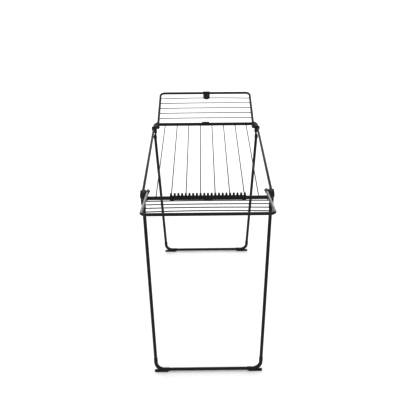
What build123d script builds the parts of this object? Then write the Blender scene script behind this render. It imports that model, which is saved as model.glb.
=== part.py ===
"""Free-standing folding winged clothes airer, in millimetres, +Z up, floor at Z = 0.

X runs across the airer, Y along it (front wing towards -Y). The origin is on the floor under the
centre of the top. Each physical piece is written as its own STEP file in parts/.
"""
from build123d import *
from math import atan2, cos, degrees, hypot, radians, sin
import os

# Top panel
BAR_Y = 436.0            # cross bar centre from the middle of the airer
BAR_Z = 950.0            # cross bar, rail and drying wire centre height
BAR_R = 8.5
BAR_END_X = 283.0        # cross bar end, inside the hub
RAIL_X = 293.2
RAIL_R = 6.25
RAIL_END_Y = 390.0       # rail end, inside the hub
TUBE_WALL = 1.2
WIRE_PITCH = 66.0
WIRE_COUNT = 8
WIRE_R = 2.25
INNER_SHIFT = 2.7        # the six inner wires and the comb sit this far right of centre

# Legs: one tube bent into a U, spread outwards and slightly narrower at the floor
LEG_R = 7.8
LEG_PIVOT_X = 291.7
LEG_PIVOT_Y = 399.5
LEG_PIVOT_Z = 928.0
FOOT_X = 265.0
FOOT_Y = 545.0
FOOT_Z = 12.3
LEG_BEND = 42.0
LEG_TUBE_START = 40.0    # tube end below the pivot, along the leg

# Leg knuckle
EYE_R = 9.5
BLADE_X0 = 282.8
BLADE_X1 = 289.2
BLADE_HALF = 8.0
BLADE_END = 40.0
FLARE_START = 14.0
FLARE_R = 3.1
COLLAR_START = 38.0
COLLAR_END = 50.0
COLLAR_R = 9.0
PLUG_START = 32.0        # plug inside the leg tube
PLUG_END = 76.0
PLUG_R = 6.1
LEG_PIN_R = 3.0
RUNNING_GAP = 0.05

# Feet
FOOT_R = 8.8
FOOT_REACH = 66.0
FOOT_COLLAR_R = 9.3
FOOT_COLLAR = 8.0
PAD_X0 = 203.0
PAD_X1 = 274.0
PAD_WIDTH = 16.0
PAD_TOP = 6.0

# Hubs
HUB_OUT_X = 304.5
HUB_IN_X = 279.0
LOBE_X = 296.0           # inner side of the low outer lobe beside the rail
SLOT_X0 = 282.6
SLOT_X1 = 289.4
CHEEK_IN_X = 280.0
CHEEK_OUT_X = 292.0
CHAMFER_Y = 410.0        # where the outer corner starts to slope in, seen from above
HUB_Y0 = 372.0
HUB_Y1 = 448.0
HUB_TOP = 961.0
HUB_FLOOR = 938.0        # underside of the hub over the leg slot
CHEEK_R = 10.5
SOCKET_X = 267.0
SOCKET_END_X = 288.0
SOCKET_R = 10.0
STOP_Y = 412.0           # inner face of the leg stop at the pivot height
STOP_BOTTOM = 905.0
STOP_T = 7.0
STOP_OUT_X = 301.0

# Wings: one tube bent into a U, tilted upwards, wires fixed under the tube
WING_TILT = 13.0
WING_X = 270.0
WING_BASE_Y = 369.5
WING_BASE_Z = 953.3
WING_LENGTH = 364.5      # capped end to outer bar centre
WING_R = 6.5
WING_BEND = 26.0
WING_PIVOT = 12.0        # pivot from the capped end, along the wing
WING_TUBE_START = 17.0
WING_WIRES = 5
WING_WIRE_PITCH = 51.7
WING_WIRE_R = 2.2
WING_WIRE_DROP = 5.2     # wire centre below the tube centre
WING_WIRE_INSET = 3.5    # wire end from the side tube's centre line, under its flank
WING_WIRE_ARCH = (4.0, 2.5, 1.5, 1.5, 1.5)
WING_CAP_R = 8.0
WING_CAP_START = 3.0
WING_CAP_END = 43.0
WING_PIN_R = 2.5
WING_PIN_X0 = 261.6
WING_PIN_X1 = 286.0

# Hanger comb
TEETH = 21
TOOTH_PITCH = WIRE_PITCH / 4
TOOTH_W = 10.4
TOOTH_DEPTH = 7.0
TOOTH_TIP_W = 9.2
TOOTH_TOP = 975.0
COMB_R = 11.0
COMB_HALF = 171.0
COMB_SKIRT_Z = 945.0
CLIP_BOTTOM_Z = 939.5
CLIP_GAP = 6.0
COMB_CLIP_END = 20.0
COMB_CLIP_MID = 40.0
NOTCH_HALF = 2.3         # half width of the notches that clear the drying wires

# Centre clip on the rear bar
BAR_CLIP_HALF = 20.0
BAR_CLIP_R = 11.0
BAR_CLIP_TOP = 962.0

# Storage latch
LATCH_X = 8.0            # latch centre, right of the middle
LATCH_W = 39.0
LATCH_BORE = WING_R + RUNNING_GAP
LATCH_R = 10.0
LATCH_LENGTH = 73.0
LATCH_T = 3.0
LATCH_NOSE = 12.0
LATCH_REST = 1.6        # underside of the tongue, just above the outer wire

SIDES = {"left": -1, "right": 1}
ENDS = {"front": -1, "rear": 1}
ORIGIN_AT_START = (Align.CENTER, Align.CENTER, Align.MIN)

nodes = {}


def rod(start, end, radius):
    """Solid round bar between two points."""
    axis = Vector(*end) - Vector(*start)
    plane = Plane(origin=start, z_dir=axis)
    return plane * Cylinder(radius, axis.length, align=ORIGIN_AT_START)


def pipe(start, end, radius, wall):
    return rod(start, end, radius) - rod(start, end, radius - wall)


def box(x0, x1, y0, y1, z0, z1):
    centre = Pos((x0 + x1) / 2, (y0 + y1) / 2, (z0 + z1) / 2)
    return centre * Box(x1 - x0, y1 - y0, z1 - z0)


def slab(points, x0, x1, round_to=0.0):
    """Side profile given as (y, z) points, extruded across X."""
    face = make_face(Polyline(*points, close=True))
    if round_to:
        face = fillet(face.vertices(), round_to)
    return extrude(Plane.YZ.offset(x0) * face, amount=x1 - x0)


def swept(path, radius):
    section = Plane(origin=path @ 0, z_dir=path % 0) * Circle(radius)
    return sweep(section, path=path)


def at_end(solid, end):
    """Piece made for the rear, placed at the named end."""
    return solid if end == "rear" else mirror(solid, about=Plane.XZ)


def at_corner(solid, end, side):
    """Piece made for the rear right corner, placed at the named corner."""
    placed = at_end(solid, end)
    return placed if side == "right" else mirror(placed, about=Plane.YZ)


# Leg plane: local X across the airer, local Y up the leg from the foot bar
leg_length = hypot(FOOT_Y - LEG_PIVOT_Y, LEG_PIVOT_Z - FOOT_Z)
up_leg = Vector(0, LEG_PIVOT_Y - FOOT_Y, LEG_PIVOT_Z - FOOT_Z)
leg_plane = Plane(origin=(0, FOOT_Y, FOOT_Z), x_dir=(1, 0, 0), z_dir=Vector(1, 0, 0).cross(up_leg))
leg_slant = (LEG_PIVOT_X - FOOT_X) / leg_length


def leg_point(down):
    """Point on the right leg's centre line, a distance down from the pivot, in the leg plane."""
    return (LEG_PIVOT_X - leg_slant * down, leg_length - down)


def leg_point_3d(down):
    x, y = leg_point(down)
    return leg_plane.from_local_coords((x, y, 0))


def leg_tube():
    x, y = leg_point(LEG_TUBE_START)
    points = [(x, y), (FOOT_X, 0), (-FOOT_X, 0), (-x, y)]
    path = leg_plane * FilletPolyline(*points, radius=LEG_BEND)
    return swept(path, LEG_R) - swept(path, LEG_R - TUBE_WALL)


def corner_path(reach):
    """Right lower corner of the leg: down the leg, round the bend and along the foot bar."""
    x, y = leg_point(leg_length - reach)
    return leg_plane * FilletPolyline((x, y), (FOOT_X, 0), (FOOT_X - reach, 0), radius=LEG_BEND)


def foot():
    body = swept(corner_path(FOOT_REACH), FOOT_R)
    top = leg_point_3d(leg_length - FOOT_REACH)
    below = leg_point_3d(leg_length - FOOT_REACH + FOOT_COLLAR)
    body += rod(top, below, FOOT_COLLAR_R)
    half = PAD_WIDTH / 2
    pad = box(PAD_X0, PAD_X1, FOOT_Y - half, FOOT_Y + half, 0, PAD_TOP)
    body += fillet(pad.edges().filter_by(Axis.Z), half - 1)
    return body - swept(corner_path(FOOT_REACH + 1), LEG_R)


def leg_knuckle():
    """Flat blade with the pivot eye, flaring to a collar and a plug for the leg tube."""
    pivot_yz = (LEG_PIVOT_Y, LEG_PIVOT_Z)
    eye = rod((BLADE_X0, *pivot_yz), (BLADE_X1, *pivot_yz), EYE_R)
    blade_x = (BLADE_X0 + BLADE_X1) / 2
    blade = Box(BLADE_X1 - BLADE_X0, BLADE_END, 2 * BLADE_HALF)
    body = eye + leg_plane * (Pos(blade_x, leg_length - BLADE_END / 2) * blade)
    collar_top = leg_point_3d(COLLAR_START)
    down_leg = leg_point_3d(COLLAR_END) - collar_top
    flare_top = leg_point_3d(FLARE_START)
    flare_top.X = blade_x
    small = Plane(origin=flare_top, z_dir=down_leg) * Circle(FLARE_R)
    large = Plane(origin=leg_point_3d(COLLAR_START + 0.5), z_dir=down_leg) * Circle(COLLAR_R - 0.3)
    body += loft([small.face(), large.face()])
    body += rod(collar_top, leg_point_3d(COLLAR_END), COLLAR_R)
    body -= rod(leg_point_3d(LEG_TUBE_START), leg_point_3d(COLLAR_END + 1), LEG_R)
    body += rod(leg_point_3d(PLUG_START), leg_point_3d(PLUG_END), PLUG_R)
    return body - rod((BLADE_X0 - 1, *pivot_yz), (BLADE_X1 + 1, *pivot_yz), LEG_PIN_R + RUNNING_GAP)


# Wing plane: local X across, local Y from the capped end out to the outer bar
tilt = radians(WING_TILT)
wing_out = Vector(0, cos(tilt), sin(tilt))
wing_plane = Plane(origin=(0, WING_BASE_Y, WING_BASE_Z), x_dir=(1, 0, 0),
                   z_dir=Vector(1, 0, 0).cross(wing_out))
wing_pivot = wing_plane.from_local_coords((0, WING_PIVOT, 0))


def wing_tube():
    right = [(WING_X, WING_TUBE_START), (WING_X, WING_LENGTH)]
    left = [(-WING_X, WING_LENGTH), (-WING_X, WING_TUBE_START)]
    path = wing_plane * FilletPolyline(*right, *left, radius=WING_BEND)
    return swept(path, WING_R) - swept(path, WING_R - TUBE_WALL)


def wing_wire(row):
    """Slightly arched wire butted against the wing's side tubes; row 1 is next to the outer bar."""
    y = WING_LENGTH - row * WING_WIRE_PITCH
    x = WING_X - WING_WIRE_INSET
    middle = (0, y, WING_WIRE_ARCH[row - 1] - WING_WIRE_DROP)
    ends = [(side * x, y, -WING_WIRE_DROP) for side in (-1, 1)]
    wire = swept(Spline(ends[0], middle, ends[1]), WING_WIRE_R)
    for side in (-1, 1):
        wire -= rod((side * WING_X, y - 8, 0), (side * WING_X, y + 8, 0), WING_R)
    return wing_plane * wire


def wing_knuckle():
    start = wing_plane.from_local_coords((WING_X, WING_CAP_START, 0))
    end = wing_plane.from_local_coords((WING_X, WING_CAP_END, 0))
    body = rod(start, end, WING_CAP_R)
    body = fillet(body.edges().filter_by(GeomType.CIRCLE).sort_by_distance(start)[0], 2.2)
    socket = wing_plane.from_local_coords((WING_X, WING_TUBE_START, 0))
    past_end = wing_plane.from_local_coords((WING_X, WING_CAP_END + 1, 0))
    body -= rod(socket, past_end, WING_R)
    pin_y, pin_z = wing_pivot.Y, wing_pivot.Z
    reach = WING_CAP_R + 1
    hole = rod((WING_X - reach, pin_y, pin_z), (WING_X + reach, pin_y, pin_z), WING_PIN_R + RUNNING_GAP)
    return body - hole


def cross_bar():
    return pipe((-BAR_END_X, BAR_Y, BAR_Z), (BAR_END_X, BAR_Y, BAR_Z), BAR_R, TUBE_WALL)


def rail():
    return pipe((RAIL_X, -RAIL_END_Y, BAR_Z), (RAIL_X, RAIL_END_Y, BAR_Z), RAIL_R, TUBE_WALL)


def drying_wire(x):
    """Wire across the top, its ends shaped to the cross bars."""
    wire = rod((x, -BAR_Y, BAR_Z), (x, BAR_Y, BAR_Z), WIRE_R)
    for y in (-BAR_Y, BAR_Y):
        wire -= rod((x - 5, y, BAR_Z), (x + 5, y, BAR_Z), BAR_R)
    return wire


def hub():
    top_profile = [
        (HUB_Y0, HUB_FLOOR),
        (HUB_Y0, HUB_TOP - 1),
        (HUB_Y0 + 28, HUB_TOP),
        (HUB_Y0 + 50, HUB_TOP - 4),
        (HUB_Y1 - 4, BAR_Z + 3),
        (HUB_Y1 - 4, HUB_FLOOR + 3),
        (STOP_Y + 10, HUB_FLOOR),
    ]
    body = slab(top_profile, HUB_IN_X, LOBE_X + 1, 1.5)
    lobe_profile = [
        (HUB_Y0, HUB_FLOOR),
        (HUB_Y0, HUB_TOP - 2),
        (HUB_Y0 + 14, HUB_TOP - 3),
        (HUB_Y0 + 30, HUB_TOP - 9),
        (HUB_Y0 + 46, HUB_FLOOR + 6),
        (HUB_Y0 + 42, HUB_FLOOR),
    ]
    body += slab(lobe_profile, LOBE_X, HUB_OUT_X, 1.5)
    pivot_yz = (LEG_PIVOT_Y, LEG_PIVOT_Z)
    web_profile = [
        (LEG_PIVOT_Y - CHEEK_R, LEG_PIVOT_Z),
        (LEG_PIVOT_Y - CHEEK_R, HUB_FLOOR + 4),
        (STOP_Y + STOP_T, HUB_FLOOR + 4),
        (STOP_Y + STOP_T, LEG_PIVOT_Z),
    ]
    for x0, x1 in ((CHEEK_IN_X, SLOT_X0), (SLOT_X1, CHEEK_OUT_X)):
        body += slab(web_profile, x0, x1)
        body += rod((x0, *pivot_yz), (x1, *pivot_yz), CHEEK_R)
    # Stop wall that the open leg rests against, following the leg's slope
    lean = (FOOT_Y - LEG_PIVOT_Y) / (LEG_PIVOT_Z - FOOT_Z)
    foot_y = STOP_Y + lean * (LEG_PIVOT_Z - STOP_BOTTOM)
    stop_profile = [
        (STOP_Y - lean * (HUB_FLOOR + 4 - LEG_PIVOT_Z), HUB_FLOOR + 4),
        (foot_y, STOP_BOTTOM),
        (foot_y + STOP_T - 2, STOP_BOTTOM),
        (STOP_Y + STOP_T + 3, HUB_FLOOR + 4),
    ]
    stop = slab(stop_profile, CHEEK_IN_X, STOP_OUT_X)
    body += fillet(stop.edges().filter_by(Axis.Y, tolerance=30).group_by(Axis.Z)[0], 4)
    # Outer corner sloped in plan
    corner = [(HUB_OUT_X + 1, CHAMFER_Y - 2), (HUB_OUT_X + 1, HUB_Y1 + 2), (BAR_END_X + 1, HUB_Y1 + 2)]
    body -= extrude(Plane.XY.offset(STOP_BOTTOM - 1) * make_face(Polyline(*corner, close=True)), amount=70)
    # Round slot for the knuckle's eye
    body -= rod((SLOT_X0, *pivot_yz), (SLOT_X1, *pivot_yz), EYE_R + 0.4)
    # Socket for the cross bar, with a rest for the wing tube on top
    body += rod((SOCKET_X, BAR_Y, BAR_Z), (SOCKET_END_X, BAR_Y, BAR_Z), SOCKET_R)
    rest_y0 = BAR_Y - 7
    rest_y1 = BAR_Y + 7
    lift = WING_R / cos(tilt) + 0.1
    rest_top = [WING_BASE_Z + (y - WING_BASE_Y) * sin(tilt) / cos(tilt) - lift for y in (rest_y0, rest_y1)]
    rest = [(rest_y0, BAR_Z), (rest_y0, rest_top[0]), (rest_y1, rest_top[1]), (rest_y1, BAR_Z)]
    body += slab(rest, SOCKET_X, HUB_IN_X + 1)
    # Bores for the bar, the rail and both pins
    body -= rod((SOCKET_X - 1, BAR_Y, BAR_Z), (BAR_END_X, BAR_Y, BAR_Z), BAR_R)
    body -= rod((RAIL_X, HUB_Y0 - 1, BAR_Z), (RAIL_X, RAIL_END_Y, BAR_Z), RAIL_R)
    body -= rod((CHEEK_IN_X - 1, *pivot_yz), (CHEEK_OUT_X + 1, *pivot_yz), LEG_PIN_R)
    wing_yz = (wing_pivot.Y, wing_pivot.Z)
    return body - rod((HUB_IN_X - 1, *wing_yz), (WING_PIN_X1, *wing_yz), WING_PIN_R)


def leg_pin():
    start = (CHEEK_IN_X + 0.3, LEG_PIVOT_Y, LEG_PIVOT_Z)
    outside = (CHEEK_OUT_X, LEG_PIVOT_Y, LEG_PIVOT_Z)
    head_end = (CHEEK_OUT_X + 1.5, LEG_PIVOT_Y, LEG_PIVOT_Z)
    return rod(start, outside, LEG_PIN_R) + rod(outside, head_end, 2 * LEG_PIN_R)


def wing_pin():
    y, z = wing_pivot.Y, wing_pivot.Z
    head = rod((WING_PIN_X0 - 1.5, y, z), (WING_PIN_X0, y, z), 2 * WING_PIN_R - 0.5)
    return rod((WING_PIN_X0, y, z), (WING_PIN_X1, y, z), WING_PIN_R) + head


def tooth(x):
    """Hanger tooth, tapering to a rounded tip."""
    half = TOOTH_W / 2
    tip = TOOTH_TIP_W / 2
    root = BAR_Z + BAR_R + 1
    shoulder = TOOTH_TOP - tip
    points = [(x - half, root), (x - tip, shoulder), (x + tip, shoulder), (x + half, root)]
    front = Plane.XZ.offset(-BAR_Y - TOOTH_DEPTH / 2)
    blade = extrude(front * make_face(Polyline(*points, close=True)), amount=TOOTH_DEPTH)
    ends = [(x, BAR_Y - TOOTH_DEPTH / 2, shoulder), (x, BAR_Y + TOOTH_DEPTH / 2, shoulder)]
    return blade + rod(*ends, tip)


def clip_shell(x0, x1, outer, lowest):
    """Open sleeve over a cross bar, cut off below the given height."""
    shell = rod((x0, BAR_Y, BAR_Z), (x1, BAR_Y, BAR_Z), outer)
    shell -= rod((x0 - 1, BAR_Y, BAR_Z), (x1 + 1, BAR_Y, BAR_Z), BAR_R)
    return shell - box(x0 - 1, x1 + 1, BAR_Y - 20, BAR_Y + 20, BAR_Z - 20, lowest)


def comb():
    """Comb centred on X = 0; it is moved sideways when placed."""
    body = clip_shell(-COMB_HALF, COMB_HALF, COMB_R, COMB_SKIRT_Z)
    feet = [
        (-COMB_HALF, -COMB_HALF + COMB_CLIP_END),
        (-COMB_CLIP_MID / 2, COMB_CLIP_MID / 2),
        (COMB_HALF - COMB_CLIP_END, COMB_HALF),
    ]
    for x0, x1 in feet:
        foot_clip = clip_shell(x0, x1, COMB_R, CLIP_BOTTOM_Z)
        body += foot_clip - box(x0 - 1, x1 + 1, BAR_Y - CLIP_GAP, BAR_Y + CLIP_GAP, BAR_Z - 20, BAR_Z)
    for x in wire_positions(TEETH, TOOTH_PITCH):
        body += tooth(x)
    for x in wire_positions(WIRE_COUNT - 2, WIRE_PITCH):
        notch_y1 = BAR_Y - BAR_R / 2
        body -= box(x - NOTCH_HALF, x + NOTCH_HALF, 0, notch_y1, COMB_SKIRT_Z - 10, BAR_Z + NOTCH_HALF)
    body -= rod((-COMB_HALF - 1, BAR_Y, BAR_Z), (COMB_HALF + 1, BAR_Y, BAR_Z), BAR_R)
    return body


def bar_clip():
    """Short clip on the rear cross bar with a flat raised top."""
    x0, x1 = -BAR_CLIP_HALF, BAR_CLIP_HALF
    body = clip_shell(x0, x1, BAR_CLIP_R, BAR_Z - 6)
    plate = box(x0, x1, BAR_Y - 8, BAR_Y + 8, BAR_Z + BAR_R, BAR_CLIP_TOP)
    body += fillet(plate.edges().filter_by(Axis.Z), 3)
    return body - rod((x0 - 1, BAR_Y, BAR_Z), (x1 + 1, BAR_Y, BAR_Z), BAR_R)


def latch():
    """Tongue lying over the outer wire, its loop turning on the outer bar."""
    half = LATCH_W / 2
    y = WING_LENGTH
    loop = rod((-half, y, 0), (half, y, 0), LATCH_R)
    tongue_end = y - LATCH_LENGTH
    outline = [
        (-half, y),
        (-half, tongue_end + LATCH_NOSE),
        (-half + LATCH_NOSE, tongue_end),
        (half - LATCH_NOSE, tongue_end),
        (half, tongue_end + LATCH_NOSE),
        (half, y),
    ]
    face = make_face(Polyline(*outline, close=True))
    face = fillet(face.vertices().filter_by_position(Axis.Y, tongue_end - 1, tongue_end + LATCH_NOSE + 1), 5)
    plate = extrude(Pos(0, 0, LATCH_REST) * face, amount=LATCH_T)
    body = loop + plate
    body -= rod((-half - 1, y, 0), (half + 1, y, 0), LATCH_BORE)
    return wing_plane * Pos(LATCH_X, 0, 0) * body


def wire_positions(count, pitch):
    return [(i - (count - 1) / 2) * pitch for i in range(count)]


# Main frame
for end in ENDS:
    nodes[f"{end}_cross_bar"] = at_end(cross_bar(), end)
for side, sign in SIDES.items():
    nodes[f"{side}_rail"] = rail() if sign > 0 else mirror(rail(), about=Plane.YZ)
for number, x in enumerate(wire_positions(WIRE_COUNT, WIRE_PITCH), 1):
    shift = INNER_SHIFT if 1 < number < WIRE_COUNT else 0
    nodes[f"drying_wire_{number}"] = drying_wire(x + shift)
nodes["hanger_comb"] = Pos(INNER_SHIFT, 0, 0) * at_end(comb(), "front")
nodes["rear_bar_clip"] = bar_clip()

# Corners
leg_pins = []
wing_pins = []
for end in ENDS:
    for side in SIDES:
        nodes[f"{end}_{side}_hub"] = at_corner(hub(), end, side)
        nodes[f"{end}_{side}_leg_knuckle"] = at_corner(leg_knuckle(), end, side)
        nodes[f"{end}_{side}_foot"] = at_corner(foot(), end, side)
        nodes[f"{end}_{side}_wing_knuckle"] = at_corner(wing_knuckle(), end, side)
        leg_pins.append(at_corner(leg_pin(), end, side))
        wing_pins.append(at_corner(wing_pin(), end, side))
nodes["leg_pins"] = Compound(leg_pins)
nodes["wing_pins"] = Compound(wing_pins)

# Legs and wings
for end in ENDS:
    nodes[f"{end}_leg_tube"] = at_end(leg_tube(), end)
    nodes[f"{end}_wing_tube"] = at_end(wing_tube(), end)
    for row in range(1, WING_WIRES + 1):
        nodes[f"{end}_wing_wire_{row}"] = at_end(wing_wire(row), end)
nodes["storage_latch"] = latch()

os.makedirs("parts", exist_ok=True)
for name, solid in nodes.items():
    export_step(solid, f"parts/{name}.step")
    print(name, len(solid.solids()))
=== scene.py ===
"""Looks for the folding winged clothes airer. Metres, in the CAD frame: +Z up, front wing towards -Y."""

from math import cos, pi, radians, sin, tan

import bmesh
import bpy
from mathutils import Matrix, Vector, noise


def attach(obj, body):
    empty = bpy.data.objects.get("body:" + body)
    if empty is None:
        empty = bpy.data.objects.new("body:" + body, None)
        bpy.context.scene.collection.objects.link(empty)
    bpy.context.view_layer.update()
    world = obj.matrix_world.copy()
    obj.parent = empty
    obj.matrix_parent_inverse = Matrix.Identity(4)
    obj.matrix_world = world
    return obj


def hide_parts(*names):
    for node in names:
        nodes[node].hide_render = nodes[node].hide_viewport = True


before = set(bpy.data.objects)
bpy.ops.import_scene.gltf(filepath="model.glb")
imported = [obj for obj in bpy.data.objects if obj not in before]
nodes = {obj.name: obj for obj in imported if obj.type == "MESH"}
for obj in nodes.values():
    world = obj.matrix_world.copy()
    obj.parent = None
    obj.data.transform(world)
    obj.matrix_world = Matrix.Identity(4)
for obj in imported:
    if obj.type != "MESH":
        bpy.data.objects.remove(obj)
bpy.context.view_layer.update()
MM = 0.001
SIDES = ("left", "right")
ENDS = ("front", "rear")
scene = bpy.context.scene


# ---------------------------------------------------------------- materials

class Graph:
    """Small helper for building a material's nodes."""

    def __init__(self, name):
        self.material = bpy.data.materials.new(name)
        self.material.use_nodes = True
        self.tree = self.material.node_tree
        self.shader = self.tree.nodes["Principled BSDF"]
        self.coords = self.tree.nodes.new("ShaderNodeTexCoord").outputs["Object"]

    def link(self, source, target):
        self.tree.links.new(source, target)

    def noise(self, scale, detail=2.0, roughness=0.5, stretch=None):
        node = self.tree.nodes.new("ShaderNodeTexNoise")
        node.inputs["Scale"].default_value = scale
        node.inputs["Detail"].default_value = detail
        node.inputs["Roughness"].default_value = roughness
        source = self.coords
        if stretch:
            mapping = self.tree.nodes.new("ShaderNodeMapping")
            mapping.inputs["Scale"].default_value = stretch
            self.link(source, mapping.inputs["Vector"])
            source = mapping.outputs["Vector"]
        self.link(source, node.inputs["Vector"])
        return node.outputs["Fac"]

    def spots(self, scale):
        node = self.tree.nodes.new("ShaderNodeTexVoronoi")
        node.inputs["Scale"].default_value = scale
        self.link(self.coords, node.inputs["Vector"])
        return node.outputs["Distance"]

    def ranged(self, source, low, high, to_low, to_high):
        node = self.tree.nodes.new("ShaderNodeMapRange")
        for key, value in (("From Min", low), ("From Max", high), ("To Min", to_low), ("To Max", to_high)):
            node.inputs[key].default_value = value
        self.link(source, node.inputs["Value"])
        return node.outputs["Result"]

    def maths(self, kind, a, b):
        node = self.tree.nodes.new("ShaderNodeMath")
        node.operation = kind
        for socket, value in zip(node.inputs, (a, b)):
            if isinstance(value, (int, float)):
                socket.default_value = value
            else:
                self.link(value, socket)
        return node.outputs[0]

    def mix(self, share, first, second):
        node = self.tree.nodes.new("ShaderNodeMix")
        node.data_type = "RGBA"
        self.link(share, node.inputs["Factor"])
        for socket, value in ((node.inputs[6], first), (node.inputs[7], second)):
            if isinstance(value, tuple):
                socket.default_value = (*value, 1.0)
            else:
                self.link(value, socket)
        return node.outputs[2]

    def bump(self, height, strength, distance, under=None):
        node = self.tree.nodes.new("ShaderNodeBump")
        node.inputs["Strength"].default_value = strength
        node.inputs["Distance"].default_value = distance
        self.link(height, node.inputs["Height"])
        if under:
            self.link(under, node.inputs["Normal"])
        return node.outputs["Normal"]

    def pointiness(self):
        return self.tree.nodes.new("ShaderNodeNewGeometry").outputs["Pointiness"]

    def finish(self, colour, roughness, normal, **fixed):
        self.link(colour, self.shader.inputs["Base Color"])
        self.link(roughness, self.shader.inputs["Roughness"])
        self.link(normal, self.shader.inputs["Normal"])
        for key, value in fixed.items():
            self.shader.inputs[key.replace("_", " ")].default_value = value
        return self.material


def coated_tube(name, dark, light, rough_low, rough_high, ior):
    """Thin stoved coating over steel tube: faint orange peel, dust and small rubbed spots."""
    g = Graph(name)
    broad = g.noise(14.0, 3.0)
    fine = g.noise(420.0, 2.0)
    colour = g.mix(g.ranged(broad, 0.35, 0.7, 0.0, 1.0), dark, light)
    specks = g.ranged(g.noise(950.0, 1.0), 0.66, 0.74, 0.0, 0.35)
    colour = g.mix(specks, colour, tuple(1.6 * c for c in light))
    roughness = g.ranged(g.noise(55.0, 4.0, 0.6), 0.3, 0.7, rough_low, rough_high)
    peel = g.bump(fine, 0.10, 0.0004)
    normal = g.bump(g.noise(2600.0, 1.0), 0.06, 0.0001, under=peel)
    return g.finish(colour, roughness, normal, IOR=ior)


def moulded_plastic(name, dark, light, rough_low, rough_high, worn=0.25):
    """Spark-eroded mould texture with paler rubbed edges."""
    g = Graph(name)
    cloud = g.noise(30.0, 3.0)
    colour = g.mix(g.ranged(cloud, 0.3, 0.7, 0.0, 1.0), dark, light)
    edge = g.ranged(g.pointiness(), 0.53, 0.62, 0.0, worn)
    rubbed = g.maths("MULTIPLY", edge, g.ranged(g.noise(160.0, 3.0), 0.4, 0.62, 0.0, 1.0))
    colour = g.mix(rubbed, colour, tuple(2.0 * c for c in light))
    roughness = g.ranged(g.noise(220.0, 3.0), 0.3, 0.7, rough_low, rough_high)
    grain = g.bump(g.spots(1500.0), 0.16, 0.00018)
    normal = g.bump(cloud, 0.05, 0.001, under=grain)
    return g.finish(colour, roughness, normal, IOR=1.2)


def pin_metal(name):
    """Dark zinc-plated pin with turned marks."""
    g = Graph(name)
    marks = g.noise(300.0, 2.0, stretch=(0.1, 4.0, 4.0))
    colour = g.mix(marks, (0.10, 0.10, 0.105), (0.19, 0.19, 0.195))
    roughness = g.ranged(g.noise(90.0, 3.0), 0.3, 0.7, 0.3, 0.5)
    return g.finish(colour, roughness, g.bump(marks, 0.08, 0.0002), Metallic=1.0)


TUBE = coated_tube("coated_tube", (0.019, 0.019, 0.0195), (0.023, 0.023, 0.0237), 0.22, 0.34, 1.22)
RAIL = coated_tube("coated_rail", (0.016, 0.016, 0.0165), (0.020, 0.020, 0.0206), 0.25, 0.38, 1.14)
WIRE = coated_tube("coated_wire", (0.013, 0.013, 0.0134), (0.017, 0.017, 0.0175), 0.26, 0.40, 1.14)
PLASTIC = moulded_plastic("black_plastic", (0.015, 0.015, 0.0155), (0.019, 0.019, 0.0196), 0.40, 0.58)
SOLE = moulded_plastic("foot_plastic", (0.021, 0.021, 0.0217), (0.026, 0.026, 0.0268), 0.50, 0.70, 0.3)
PIN = pin_metal("pin_metal")


def material_for(name):
    if "pins" in name:
        return PIN
    if "wire" in name:
        return WIRE
    if "rail" in name:
        return RAIL
    if "tube" in name or "bar" in name and "clip" not in name:
        return TUBE
    if "foot" in name:
        return SOLE
    return PLASTIC


def shade(obj, angle=35.0):
    for polygon in obj.data.polygons:
        polygon.use_smooth = True
    with bpy.context.temp_override(object=obj, active_object=obj, selected_objects=[obj],
                                   selected_editable_objects=[obj]):
        bpy.ops.object.shade_smooth_by_angle(angle=radians(angle))


def set_material(obj, material):
    obj.data.materials.clear()
    obj.data.materials.append(material)


for name, obj in nodes.items():
    set_material(obj, material_for(name))


# ---------------------------------------------------------------- detailed pieces

def new_object(name, mesh):
    obj = bpy.data.objects.new(name, mesh)
    scene.collection.objects.link(obj)
    return obj


def object_from(bm, name):
    mesh = bpy.data.meshes.new(name)
    bm.to_mesh(mesh)
    bm.free()
    return new_object(name, mesh)


def apply_modifiers(obj):
    """Bakes the object's modifiers into its own mesh."""
    bpy.context.view_layer.update()
    evaluated = obj.evaluated_get(bpy.context.evaluated_depsgraph_get())
    mesh = bpy.data.meshes.new_from_object(evaluated)
    old = obj.data
    obj.modifiers.clear()
    obj.data = mesh
    bpy.data.meshes.remove(old)


def add_rod(bm, start, end, radius, end_radius=None, sides=32):
    """Closed round bar or cone between two points, added to a bmesh."""
    start, end = Vector(start), Vector(end)
    axis = end - start
    place = Matrix.Translation((start + end) / 2) @ axis.to_track_quat("Z", "Y").to_matrix().to_4x4()
    if end_radius is None:
        end_radius = radius
    bmesh.ops.create_cone(bm, cap_ends=True, segments=sides, radius1=radius, radius2=end_radius,
                          depth=axis.length, matrix=place)


def add_ball(bm, centre, radius, stretch=(1, 1, 1), rings=10):
    place = Matrix.Translation(centre) @ Matrix.Diagonal((*stretch, 1.0))
    bmesh.ops.create_uvsphere(bm, u_segments=2 * rings, v_segments=rings, radius=radius, matrix=place)


def add_block(bm, low, high):
    """Closed box between two corners, added to a bmesh."""
    low, high = Vector(low), Vector(high)
    size = Vector([abs(v) for v in high - low])
    place = Matrix.Translation((low + high) / 2) @ Matrix.Diagonal((*size, 1.0))
    bmesh.ops.create_cube(bm, size=1.0, matrix=place)


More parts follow.
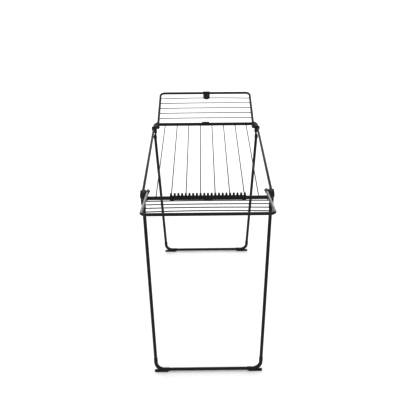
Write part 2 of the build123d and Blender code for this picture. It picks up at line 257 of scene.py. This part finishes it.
def moulded(node, body, voxel, rounding, extras=None, cuts=None, keep=0.3):
    """Moulded copy of a CAD node: features are fused in or cut out and every edge is slightly rounded."""
    bm = bmesh.new()
    bm.from_mesh(nodes[node].data)
    bmesh.ops.remove_doubles(bm, verts=bm.verts, dist=1e-6)
    if extras:
        extras(bm)
    obj = object_from(bm, node + "_moulded")
    cutter = None
    if cuts:
        bm = bmesh.new()
        cuts(bm)
        cutter = object_from(bm, node + "_cutter")
        fuse = obj.modifiers.new("fuse", "REMESH")
        fuse.mode = "VOXEL"
        fuse.voxel_size = voxel
        cut = obj.modifiers.new("cut", "BOOLEAN")
        cut.operation = "DIFFERENCE"
        cut.solver = "FAST"
        cut.object = cutter
    remesh = obj.modifiers.new("remesh", "REMESH")
    remesh.mode = "VOXEL"
    remesh.voxel_size = voxel
    smooth = obj.modifiers.new("smooth", "SMOOTH")
    smooth.factor = 0.5
    smooth.iterations = rounding
    thin = obj.modifiers.new("thin", "DECIMATE")
    thin.ratio = keep
    apply_modifiers(obj)
    if cutter:
        bpy.data.objects.remove(cutter)
    for polygon in obj.data.polygons:
        polygon.use_smooth = True
    set_material(obj, material_for(node))
    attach(obj, body)
    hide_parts(node)
    return obj


# Corner features are written for the rear right corner, in millimetres, and mirrored to the others.

def corner_place(end, side):
    sy = 1 if end == "rear" else -1
    sx = 1 if side == "right" else -1
    return lambda x, y, z: (MM * sx * x, MM * sy * y, MM * z)


BAR_Y, BAR_Z, BAR_R = 436.0, 950.0, 8.5
WIRE_PITCH = 66.0
INNER_SHIFT = 2.7        # inner drying wires and comb, right of the middle
WING_X = 270.0
WING_LENGTH = 364.5
WING_WIRE_PITCH = 51.7
LATCH_X = 8.0            # latch centre, right of the middle
FOOT_X, FOOT_Y, FOOT_Z = 265.0, 545.0, 12.3
LEG_TOP = Vector((291.7, 399.5, 928.0))
LEG_FOOT = Vector((FOOT_X, FOOT_Y, FOOT_Z))
LEG_DOWN = (LEG_FOOT - LEG_TOP).normalized()
TILT = radians(13.0)
WING_BASE = Vector((WING_X, 369.5, 953.3))
WING_OUT = Vector((0.0, cos(TILT), sin(TILT)))
WING_UP = Vector((0.0, -sin(TILT), cos(TILT)))


def leg_at(down):
    """Point on the leg's centre line, a distance down from its pivot."""
    return LEG_TOP + LEG_DOWN * down


def wing_at(along, up=0.0, x=WING_X):
    """Point in the wing's own frame: along it from the capped end, and up from the tube's centre."""
    point = WING_BASE + WING_OUT * along + WING_UP * up
    point.x = x
    return point


def hub_features(end, side):
    """Screw boss, boss round the leg pin, rim at the bar socket, inner ribs and grip grooves."""
    at = corner_place(end, side)

    def extras(bm):
        add_rod(bm, at(289, 427, 950), at(289, 427, 958.4), 4.8 * MM)
        add_rod(bm, at(291.5, LEG_TOP.y, LEG_TOP.z), at(292.8, LEG_TOP.y, LEG_TOP.z), 9.4 * MM, 8.6 * MM)
        add_rod(bm, at(267, BAR_Y, BAR_Z), at(270.5, BAR_Y, BAR_Z), 10.7 * MM)
        for y in (379, 386):
            add_block(bm, at(279.3, y - 0.9, 939), at(281.8, y + 0.9, 933.5))

    def cuts(bm):
        add_rod(bm, at(289, 427, 956.6), at(289, 427, 961), 2.9 * MM)
        for y in (378, 384, 390):
            add_block(bm, at(303.8, y - 0.8, 942), at(306, y + 0.8, 954))

    return extras, cuts


def leg_knuckle_features(end, side):
    """Two raised rings on the collar."""
    at = corner_place(end, side)

    def extras(bm):
        add_rod(bm, at(*leg_at(45.5)), at(*leg_at(50.0)), 9.7 * MM)
        add_rod(bm, at(*leg_at(38.0)), at(*leg_at(40.5)), 9.5 * MM)

    return extras, None


def wing_knuckle_features(end, side):
    """Lip at the open end and one ring."""
    at = corner_place(end, side)

    def extras(bm):
        add_rod(bm, at(*wing_at(39.2)), at(*wing_at(43.0)), 8.25 * MM)
        add_rod(bm, at(*wing_at(33.0)), at(*wing_at(35.0)), 8.25 * MM)

    return extras, None


def foot_features(end, side):
    """Grip rings down the leg and along the foot bar, and notches along both edges of the sole."""
    at = corner_place(end, side)
    height = (LEG_FOOT - LEG_TOP).length

    def extras(bm):
        for down in (64.5, 55.0, 51.0, 47.0):
            reach = 1.0 if down < 60 else 1.8
            add_rod(bm, at(*leg_at(height - down - reach)), at(*leg_at(height - down + reach)), 9.35 * MM)
        for x, radius in ((200.9, 9.9), (207.0, 9.5), (212.5, 9.5)):
            add_rod(bm, at(x - 1.2, FOOT_Y, FOOT_Z), at(x + 1.2, FOOT_Y, FOOT_Z), radius * MM)

    def cuts(bm):
        for x in range(212, 270, 7):
            for y in (FOOT_Y - 8.5, FOOT_Y + 8.5):
                add_block(bm, at(x - 1.2, y - 1.4, -1), at(x + 1.2, y + 1.4, 2.2))

    return extras, cuts


def comb_extras(bm):
    """Stiffening beads along the comb's lower front edge."""
    y, z = -MM * (BAR_Y + 10.9), MM * (BAR_Z - 3.8)
    for low, high in ((-151, -20), (20, 151)):
        add_rod(bm, (MM * (low + INNER_SHIFT), y, z), (MM * (high + INNER_SHIFT), y, z), 1.1 * MM, sides=16)


def latch_extras(bm):
    """Four grip bars across the tongue."""
    for along in (300.5, 304.5, 308.5, 312.5):
        start, end = wing_at(along, 4.7, LATCH_X - 8.5), wing_at(along, 4.7, LATCH_X + 8.5)
        add_rod(bm, start * MM, end * MM, 0.9 * MM, sides=16)


FEATURES = {
    "hub": (hub_features, 0.75, 3),
    "leg_knuckle": (leg_knuckle_features, 0.6, 2),
    "wing_knuckle": (wing_knuckle_features, 0.6, 2),
    "foot": (foot_features, 0.6, 2),
}
for end in ENDS:
    leg, wing = end + "_leg", end + "_wing"
    bodies = {"hub": "frame", "leg_knuckle": leg, "wing_knuckle": wing, "foot": leg}
    for side in SIDES:
        for part, (features, voxel, rounding) in FEATURES.items():
            extras, cuts = features(end, side)
            moulded(f"{end}_{side}_{part}", bodies[part], voxel * MM, rounding, extras, cuts)
moulded("hanger_comb", "frame", 0.7 * MM, 2, comb_extras)
moulded("rear_bar_clip", "frame", 0.6 * MM, 2)
moulded("storage_latch", "latch", 0.6 * MM, 2, latch_extras)


# Weld beads where the wires meet the tubes

def weld_piece(name, body, build):
    bm = bmesh.new()
    build(bm)
    obj = object_from(bm, name)
    for polygon in obj.data.polygons:
        polygon.use_smooth = True
    set_material(obj, WIRE)
    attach(obj, body)


WIRES = [(i - 3.5) * WIRE_PITCH + INNER_SHIFT * (0 < i < 7) for i in range(8)]


def top_welds(bm):
    """Cones at the drying wires' ends; at the front the comb covers all but the two edge wires."""
    inner = BAR_Y - BAR_R
    for x in WIRES:
        ends = (1, -1) if abs(x) > 200 else (1,)
        for sy in ends:
            start = Vector((x, sy * (inner + 1.0), BAR_Z)) * MM
            end = Vector((x, sy * (inner - 2.6), BAR_Z)) * MM
            add_rod(bm, start, end, 3.8 * MM, 2.4 * MM, sides=20)


def wing_welds(end):
    sy = 1 if end == "rear" else -1

    def build(bm):
        for row in range(1, 6):
            for sx in (-1, 1):
                x, y, z = wing_at(WING_LENGTH - WING_WIRE_PITCH * row, -5.0, WING_X - 5.2)
                add_ball(bm, (sx * x * MM, sy * y * MM, z * MM), 2.9 * MM, (1.25, 1.2, 0.85))

    return build


weld_piece("top_wire_welds", "frame", top_welds)
for end in ENDS:
    weld_piece(end + "_wing_welds", end + "_wing", wing_welds(end))


# ---------------------------------------------------------------- stage

def make_floor():
    mesh = bpy.data.meshes.new("floor")
    half = 30.0
    corners = [(-half, -half, 0), (half, -half, 0), (half, half, 0), (-half, half, 0)]
    mesh.from_pydata(corners, [], [(0, 1, 2, 3)])
    floor = bpy.data.objects.new("floor", mesh)
    scene.collection.objects.link(floor)
    g = Graph("floor_paper")
    tone = g.mix(g.noise(2.0, 2.0), (0.90, 0.90, 0.90), (0.92, 0.92, 0.92))
    roughness = g.ranged(g.noise(40.0), 0.0, 1.0, 0.75, 0.85)
    floor.data.materials.append(g.finish(tone, roughness, g.bump(g.noise(300.0), 0.02, 0.0002)))


def make_light(name, kind, place, target, energy, size):
    data = bpy.data.lights.new(name, kind)
    data.energy = energy
    data.shape = "RECTANGLE"
    data.size, data.size_y = size
    light = bpy.data.objects.new(name, data)
    light.location = place
    light.rotation_euler = (Vector(target) - Vector(place)).to_track_quat("-Z", "Y").to_euler()
    light.visible_camera = False
    scene.collection.objects.link(light)


def make_world():
    world = bpy.data.worlds.new("studio")
    world.use_nodes = True
    background = world.node_tree.nodes["Background"]
    background.inputs["Color"].default_value = (1.0, 1.0, 1.0, 1.0)
    background.inputs["Strength"].default_value = 1.20
    scene.world = world


FOCAL_PX = 597.6
FRAME_PX = 416
CAMERA_AT = (-0.021, -2.7784, 2.2494)
PITCH, YAW, ROLL = 30.0, 0.575, 0.278


def make_camera():
    data = bpy.data.cameras.new("camera")
    data.sensor_width = 36.0
    data.lens = FOCAL_PX / FRAME_PX * data.sensor_width
    data.clip_end = 100.0
    camera = bpy.data.objects.new("camera", data)
    turn = Matrix.Rotation(radians(-YAW), 4, "Z") @ Matrix.Rotation(radians(90.0 - PITCH), 4, "X")
    camera.matrix_world = Matrix.Translation(CAMERA_AT) @ turn @ Matrix.Rotation(radians(-ROLL), 4, "Z")
    scene.collection.objects.link(camera)
    scene.camera = camera


make_floor()
make_world()
make_light("sweep", "AREA", (0, 14.0, 2.6), (0, 0, 1.2), 900.0, (18.0, 5.0))
make_camera()
scene.view_settings.view_transform = "Standard"
scene.view_settings.gamma = 0.8
